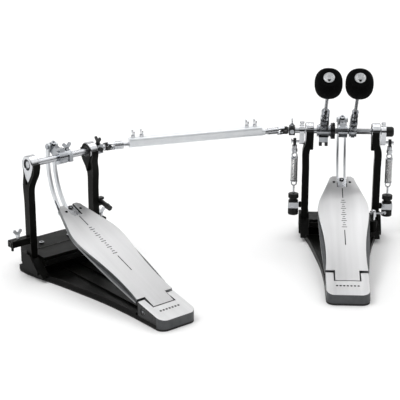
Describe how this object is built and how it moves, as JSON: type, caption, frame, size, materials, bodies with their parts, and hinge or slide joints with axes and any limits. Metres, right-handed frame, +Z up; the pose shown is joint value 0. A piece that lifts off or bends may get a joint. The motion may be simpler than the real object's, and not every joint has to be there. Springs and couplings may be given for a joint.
{
  "type": "twin bass drum pedal",
  "caption": "Twin bass drum pedal: a main pedal with a pair of felt beaters on its axle, a remote pedal, and a jointed drive shaft that carries the remote stroke across.",
  "frame": {"origin": "on the floor under the middle of the main pedal's axle, at the underside of its rubber mat", "axes": "+X along the main pedal's axle to the player's right, +Y towards the drum, +Z up"},
  "size_m": [0.6583, 0.5028, 0.3443],
  "materials": {
    "satin_black": "satin black enamel",
    "brushed_alloy": "brushed, clear anodised",
    "tube_alloy": "satin anodised",
    "bright_chrome": "polished",
    "machined_steel": "ground",
    "black_steel": "black oxide",
    "black_plastic": "moulded",
    "felt": "pressed felt",
    "rubber": "matt"
  },
  "bodies": {
    "pedal_frames": {"primary_base_frame": "satin_black", "slave_base_frame": "satin_black", "left_posts": "satin_black", "right_posts": "satin_black", "bearing_housings": "bright_chrome", "ball_bearings": "machined_steel", "heel_plates": "brushed_alloy", "hinge_pins": "machined_steel", "floor_mats": "rubber", "base_screws": "machined_steel", "spring_anchor_studs": "satin_black", "hoop_clamp_bed": "satin_black", "hoop_bed_pad": "rubber", "hoop_clamp_pivot": "satin_black", "anchor_bars": "satin_black", "anchor_wing_bolts": "bright_chrome", "tuning_tool": "satin_black", "slave_front_block": "satin_black"},
    "hoop_screw": {"hoop_clamp_screw": "bright_chrome"},
    "hoop_jaw": {"hoop_clamp_jaw": "satin_black", "hoop_jaw_pad": "rubber"},
    "primary_beater": {"primary_axle": "machined_steel", "primary_cam": "bright_chrome", "primary_beater_holder": "bright_chrome", "primary_beater_rod": "machined_steel", "primary_beater_head": "felt", "primary_beater_cap": "bright_chrome", "right_spring_rocker": "bright_chrome", "primary_axle_end_cap": "black_plastic"},
    "primary_board": {"primary_footboard": "brushed_alloy", "primary_link_slider": "bright_chrome"},
    "primary_link": {"primary_link_arms": "bright_chrome"},
    "right_spring_lower": {"right_spring_coil": "machined_steel", "right_spring_hook_rod": "bright_chrome"},
    "right_spring_upper": {"right_spring_hanger": "bright_chrome"},
    "right_knobs": {"right_tension_knobs": "black_plastic"},
    "slave_crank": {"slave_axle": "machined_steel", "slave_cam": "bright_chrome", "slave_joint_yoke": "black_steel"},
    "slave_board": {"slave_footboard": "brushed_alloy", "slave_link_slider": "bright_chrome"},
    "slave_link": {"slave_link_arms": "bright_chrome"},
    "slave_cross": {"slave_joint_cross": "machined_steel"},
    "drive_shaft": {"drive_shaft_forks": "bright_chrome", "drive_shaft_tube": "tube_alloy", "drive_shaft_wing_bolts": "bright_chrome"},
    "driven_beater": {"driven_axle": "machined_steel", "driven_beater_holder": "bright_chrome", "driven_beater_rod": "machined_steel", "driven_beater_head": "felt", "driven_beater_cap": "bright_chrome", "driven_hub_disc": "satin_black", "left_spring_rocker": "bright_chrome", "driven_joint_yoke": "black_steel"},
    "driven_cross": {"driven_joint_cross": "machined_steel"},
    "left_spring_lower": {"left_spring_coil": "machined_steel", "left_spring_hook_rod": "bright_chrome"},
    "left_spring_upper": {"left_spring_hanger": "bright_chrome"},
    "left_knobs": {"left_tension_knobs": "black_plastic"}
  },
  "joints": [
    {"name": "primary_stroke", "type": "hinge", "parent": "pedal_frames", "child": "primary_beater", "pos_m": [0, 0, 0.198], "axis": [-1, 0, 0], "range_deg": [0, 45], "stiffness_Nm_per_rad": 0.5, "springref_deg": -28.65},
    {"name": "primary_board_hinge", "type": "hinge", "parent": "pedal_frames", "child": "primary_board", "pos_m": [0, -0.271, 0.0185], "axis": [-1, 0, 0], "range_deg": [0, 5.2]},
    {"name": "primary_link_hinge", "type": "hinge", "parent": "primary_beater", "child": "primary_link", "pos_m": [0, 0.027, 0.211], "axis": [-1, 0, 0], "range_deg": [-47.2, 0]},
    {"name": "right_spring_swing", "type": "hinge", "parent": "pedal_frames", "child": "right_spring_lower", "pos_m": [0.085, 0, 0.0575], "axis": [1, 0, 0], "range_deg": [0, 6.3]},
    {"name": "right_spring_stretch", "type": "slide", "parent": "right_spring_lower", "child": "right_spring_upper", "axis": [0, 0, 1], "range_m": [0, 0.007], "deforming": ["right_spring_coil"]},
    {"name": "slave_stroke", "type": "hinge", "parent": "pedal_frames", "child": "slave_crank", "pos_m": [-0.4808, -0.1777, 0.198], "axis": [-0.7408, -0.6717, 0], "range_deg": [0, 45], "stiffness_Nm_per_rad": 0.5, "springref_deg": -28.65},
    {"name": "slave_board_hinge", "type": "hinge", "parent": "pedal_frames", "child": "slave_board", "pos_m": [-0.29876, -0.37846, 0.0185], "axis": [-0.7408, -0.6717, 0], "range_deg": [0, 5.2]},
    {"name": "slave_link_hinge", "type": "hinge", "parent": "slave_crank", "child": "slave_link", "pos_m": [-0.49894, -0.1577, 0.211], "axis": [-0.7408, -0.6717, 0], "range_deg": [-47.2, 0]},
    {"name": "slave_cross_tilt", "type": "hinge", "parent": "slave_crank", "child": "slave_cross", "pos_m": [-0.40672, -0.11053, 0.198], "axis": [-0.6206, 0.6844, 0.3827], "range_deg": [0, 17.8]},
    {"name": "drive_shaft_spin", "type": "hinge", "parent": "pedal_frames", "child": "drive_shaft", "pos_m": [-0.40672, -0.11053, 0.198], "axis": [-0.9379, -0.347, 0], "range_deg": [0, 48.6]},
    {"name": "driven_stroke", "type": "hinge", "parent": "pedal_frames", "child": "driven_beater", "pos_m": [0, 0, 0.198], "axis": [-1, 0, 0], "range_deg": [0, 45.6]},
    {"name": "driven_cross_tilt", "type": "hinge", "parent": "driven_beater", "child": "driven_cross", "pos_m": [-0.108, 0, 0.198], "axis": [0, 0.9239, 0.3827], "range_deg": [-16.6, 0]},
    {"name": "left_spring_swing", "type": "hinge", "parent": "pedal_frames", "child": "left_spring_lower", "pos_m": [-0.085, 0, 0.0575], "axis": [1, 0, 0], "range_deg": [0, 6.3]},
    {"name": "left_spring_stretch", "type": "slide", "parent": "left_spring_lower", "child": "left_spring_upper", "axis": [0, 0, 1], "range_m": [0, 0.007], "deforming": ["left_spring_coil"]},
    {"name": "right_knob_turn", "type": "hinge", "parent": "right_spring_lower", "child": "right_knobs", "pos_m": [0.085, 0, 0.0575], "axis": [0, 0, 1], "continuous": true},
    {"name": "left_knob_turn", "type": "hinge", "parent": "left_spring_lower", "child": "left_knobs", "pos_m": [-0.085, 0, 0.0575], "axis": [0, 0, 1], "continuous": true},
    {"name": "hoop_screw_turn", "type": "hinge", "parent": "pedal_frames", "child": "hoop_screw", "pos_m": [0.06, -0.025, 0.038], "axis": [0, 0, -1], "range_deg": [0, 160]},
    {"name": "hoop_jaw_hinge", "type": "hinge", "parent": "pedal_frames", "child": "hoop_jaw", "pos_m": [0, 0.027, 0.02], "axis": [1, 0, 0], "range_deg": [0, 8.1]}
  ],
  "couplings": [
    {"joint": "primary_board_hinge", "follows": "primary_stroke", "ratio": 0.11354},
    {"joint": "primary_link_hinge", "follows": "primary_stroke", "ratio": -1.0425},
    {"joint": "right_spring_swing", "follows": "primary_stroke", "ratio": 0.135},
    {"joint": "right_spring_stretch", "follows": "primary_stroke", "m_per_rad": 0.008722},
    {"joint": "slave_board_hinge", "follows": "slave_stroke", "ratio": 0.11354},
    {"joint": "slave_link_hinge", "follows": "slave_stroke", "ratio": -1.0425},
    {"joint": "slave_cross_tilt", "follows": "slave_stroke", "ratio": 0.38987},
    {"joint": "drive_shaft_spin", "follows": "slave_stroke", "ratio": 1.07},
    {"joint": "driven_stroke", "follows": "slave_stroke", "ratio": 1.0097},
    {"joint": "driven_cross_tilt", "follows": "slave_stroke", "ratio": -0.36275},
    {"joint": "left_spring_swing", "follows": "slave_stroke", "ratio": 0.135},
    {"joint": "left_spring_stretch", "follows": "slave_stroke", "m_per_rad": 0.008722},
    {"joint": "hoop_jaw_hinge", "follows": "hoop_screw_turn", "ratio": 0.05}
  ]
}
